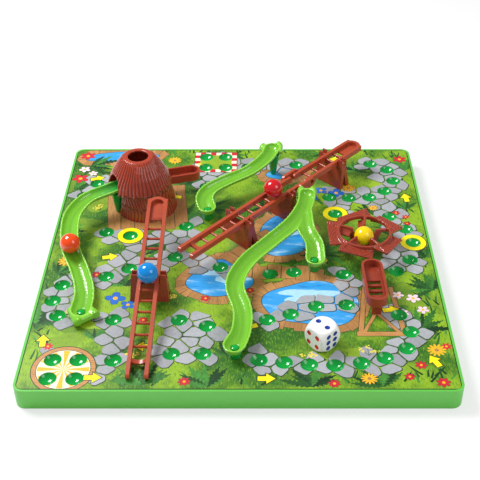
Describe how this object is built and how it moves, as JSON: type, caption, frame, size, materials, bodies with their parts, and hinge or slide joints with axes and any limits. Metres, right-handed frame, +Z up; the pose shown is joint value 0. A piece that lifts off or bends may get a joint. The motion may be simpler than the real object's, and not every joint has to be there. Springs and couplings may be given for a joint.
{
  "type": "marble board game",
  "caption": "Square snakes-and-ladders board for marbles, with raised snake slides, tilting ladders, a paddle wheel and a hut that drops a marble to a slide or a chute.",
  "frame": {"origin": "centre of the board's underside", "axes": "+X to the board's right, +Y from the player towards the far edge, +Z up"},
  "size_m": [0.33, 0.33, 0.0704],
  "materials": {
    "tray_green": "satin",
    "deep_green": "gloss",
    "printed_sheet": "matte",
    "screw_steel": "satin",
    "hut_brown": "gloss",
    "ladder_brown": "gloss",
    "snake_green": "gloss",
    "orange_marble": "gloss",
    "blue_marble": "gloss",
    "red_marble": "gloss",
    "yellow_marble": "gloss",
    "die_white": "gloss"
  },
  "bodies": {
    "board": {"base_tray": "tray_green", "space_plate": "deep_green", "play_sheet": "printed_sheet", "tray_screws": "screw_steel", "hut_shell": "hut_brown", "hut_splitter": "hut_brown", "hut_chute": "hut_brown", "snake_left": "snake_green", "snake_left_post": "deep_green", "snake_left_head_pin": "deep_green", "snake_back": "snake_green", "snake_back_head_post": "deep_green", "snake_back_tail_post": "deep_green", "snake_fork": "snake_green", "snake_fork_head_post": "deep_green", "snake_fork_long_post": "deep_green", "snake_fork_short_post": "deep_green", "stand_left": "ladder_brown", "stand_lower": "ladder_brown", "stand_middle": "ladder_brown", "stand_upper": "ladder_brown", "wheel_axle": "screw_steel", "wheel_trough": "ladder_brown"},
    "left_ladder": {"ladder_left": "ladder_brown"},
    "lower_ladder": {"ladder_lower": "ladder_brown"},
    "upper_ladder": {"ladder_upper": "ladder_brown"},
    "wheel": {"water_wheel": "ladder_brown"},
    "orange_marble": {"marble_orange": "orange_marble"},
    "blue_marble": {"marble_blue": "blue_marble"},
    "red_marble": {"marble_red": "red_marble"},
    "yellow_marble": {"marble_yellow": "yellow_marble"},
    "loose_die": {"die": "die_white"}
  },
  "joints": [
    {"name": "left_ladder_tilt", "type": "hinge", "parent": "board", "child": "left_ladder", "pos_m": [-0.0727, -0.0594, 0.038], "axis": [0.9998, -0.0209, 0], "range_deg": [-21, 0]},
    {"name": "lower_ladder_tilt", "type": "hinge", "parent": "board", "child": "lower_ladder", "pos_m": [-0.00099, 0.01716, 0.0405], "axis": [0.7302, -0.6833, 0], "range_deg": [0, 7]},
    {"name": "upper_ladder_tilt", "type": "hinge", "parent": "board", "child": "upper_ladder", "pos_m": [0.08476, 0.1088, 0.0424], "axis": [0.7302, -0.6833, 0], "range_deg": [-12.4, 0]},
    {"name": "wheel_spin", "type": "hinge", "parent": "board", "child": "wheel", "pos_m": [0.10527, 0.00396, 0.023], "axis": [0, 0, 1], "continuous": true},
    {"name": "orange_marble_lift", "type": "slide", "parent": "board", "child": "orange_marble", "axis": [0, 0, 1], "range_m": [0, 0.06]},
    {"name": "blue_marble_lift", "type": "slide", "parent": "left_ladder", "child": "blue_marble", "axis": [0, 0, 1], "range_m": [0, 0.06]},
    {"name": "red_marble_lift", "type": "slide", "parent": "lower_ladder", "child": "red_marble", "axis": [0, 0, 1], "range_m": [0, 0.06]},
    {"name": "yellow_marble_lift", "type": "slide", "parent": "wheel", "child": "yellow_marble", "axis": [0, 0, 1], "range_m": [0, 0.06]},
    {"name": "die_lift", "type": "slide", "parent": "board", "child": "loose_die", "axis": [0, 0, 1], "range_m": [0, 0.06]}
  ],
  "couplings": [
    {"joint": "upper_ladder_tilt", "follows": "lower_ladder_tilt", "ratio": -1.77}
  ]
}
